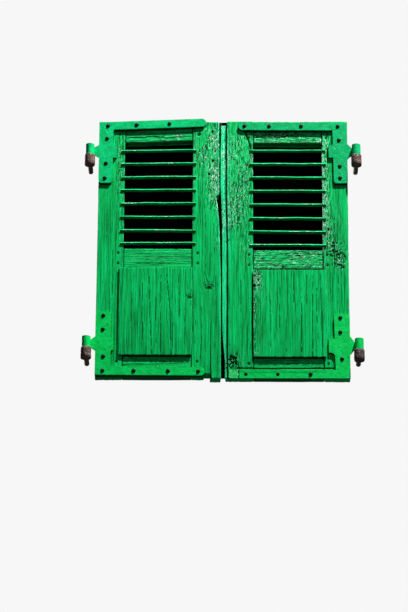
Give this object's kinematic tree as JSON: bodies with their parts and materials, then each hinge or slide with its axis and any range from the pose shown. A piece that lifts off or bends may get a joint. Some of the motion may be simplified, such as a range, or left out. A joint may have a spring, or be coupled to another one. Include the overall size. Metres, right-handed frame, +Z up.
{
  "type": "window shutters",
  "caption": "Pair of painted wooden window shutter leaves with fixed louvres over board panels, on strap hinges hung on wall pintles, tied inside by a hook.",
  "frame": {"origin": "middle of the four pintle tails, in the plane of the closed leaves' back faces", "axes": "+X to the right seen from outside, +Y into the wall, +Z up"},
  "size_m": [0.89, 0.107, 0.9089],
  "materials": {
    "painted_wood": "weathered green paint",
    "peg_wood": "painted over",
    "painted_iron": "thick green paint",
    "painted_fasteners": "thick green paint",
    "rusty_iron": "rusty",
    "latch_iron": "worn green paint"
  },
  "bodies": {
    "pintles": {"upper_left_pintle": "rusty_iron", "lower_left_pintle": "rusty_iron", "upper_right_pintle": "rusty_iron", "lower_right_pintle": "rusty_iron"},
    "left_leaf": {"left_hinge_stile": "painted_wood", "left_meeting_stile": "painted_wood", "left_top_rail": "painted_wood", "left_mid_rail": "painted_wood", "left_bottom_rail": "painted_wood", "left_panel": "painted_wood", "left_slat_1": "painted_wood", "left_slat_2": "painted_wood", "left_slat_3": "painted_wood", "left_slat_4": "painted_wood", "left_slat_5": "painted_wood", "left_slat_6": "painted_wood", "left_slat_7": "painted_wood", "left_slat_8": "painted_wood", "left_pegs": "peg_wood", "left_top_hinge": "painted_iron", "left_top_bolts": "painted_fasteners", "left_top_nuts": "painted_fasteners", "left_top_washers": "painted_fasteners", "left_bottom_hinge": "painted_iron", "left_bottom_bolts": "painted_fasteners", "left_bottom_nuts": "painted_fasteners", "left_bottom_washers": "painted_fasteners", "latch_staple": "latch_iron"},
    "right_leaf": {"right_hinge_stile": "painted_wood", "right_meeting_stile": "painted_wood", "right_top_rail": "painted_wood", "right_mid_rail": "painted_wood", "right_bottom_rail": "painted_wood", "right_panel": "painted_wood", "right_slat_1": "painted_wood", "right_slat_2": "painted_wood", "right_slat_3": "painted_wood", "right_slat_4": "painted_wood", "right_slat_5": "painted_wood", "right_slat_6": "painted_wood", "right_slat_7": "painted_wood", "right_slat_8": "painted_wood", "right_pegs": "peg_wood", "right_top_hinge": "painted_iron", "right_top_bolts": "painted_fasteners", "right_top_nuts": "painted_fasteners", "right_top_washers": "painted_fasteners", "right_bottom_hinge": "painted_iron", "right_bottom_bolts": "painted_fasteners", "right_bottom_nuts": "painted_fasteners", "right_bottom_washers": "painted_fasteners", "latch_pivot": "latch_iron"},
    "hook": {"latch_hook": "latch_iron"}
  },
  "joints": [
    {"name": "left_leaf_swing", "type": "hinge", "parent": "pintles", "child": "left_leaf", "pos_m": [-0.428, -0.05005, 0], "axis": [0, 0, -1], "range_deg": [0, 180]},
    {"name": "right_leaf_swing", "type": "hinge", "parent": "pintles", "child": "right_leaf", "pos_m": [0.428, -0.05005, 0], "axis": [0, 0, 1], "range_deg": [0, 180]},
    {"name": "latch_hook_turn", "type": "hinge", "parent": "right_leaf", "child": "hook", "pos_m": [0.045, 0.007, -0.0079], "axis": [0, -1, 0], "range_deg": [0, 270]}
  ]
}
